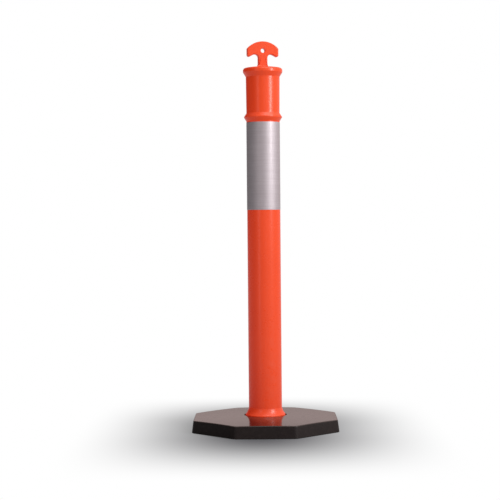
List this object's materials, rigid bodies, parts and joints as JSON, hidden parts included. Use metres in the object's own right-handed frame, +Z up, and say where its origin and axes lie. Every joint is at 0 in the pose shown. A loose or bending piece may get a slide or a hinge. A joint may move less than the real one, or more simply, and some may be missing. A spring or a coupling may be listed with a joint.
{
  "type": "delineator post",
  "caption": "Free-standing orange delineator post with a T-shaped lifting handle, ringed head and silver reflective band, in an octagonal rubber base.",
  "frame": {"origin": "on the ground, on the post's axis, at the middle of the rubber base's footprint", "axes": "+Z up along the post; the base's flats lie square to X and Y; the handle's arms lie 12 degrees counter-clockwise of X, seen from above"},
  "size_m": [0.4166, 0.4166, 1.11],
  "materials": {
    "base_rubber": "black moulded rubber, smooth glossy top, duller sides",
    "post_plastic": "satin safety-orange polyethylene",
    "reflective_sheeting": "silver retroreflective sheeting with a fine bead texture"
  },
  "bodies": {
    "base": {"rubber_base": "base_rubber"},
    "foot": {"foot": "post_plastic"},
    "post": {"post_tube": "post_plastic", "t_top_cap": "post_plastic", "reflective_band": "reflective_sheeting"}
  },
  "joints": [
    {"name": "post_turn", "type": "hinge", "parent": "base", "child": "foot", "pos_m": [0, 0, 0], "axis": [0, 0, 1], "continuous": true},
    {"name": "post_lift", "type": "slide", "parent": "foot", "child": "post", "axis": [0, 0, 1], "range_m": [0, 0.1]}
  ]
}
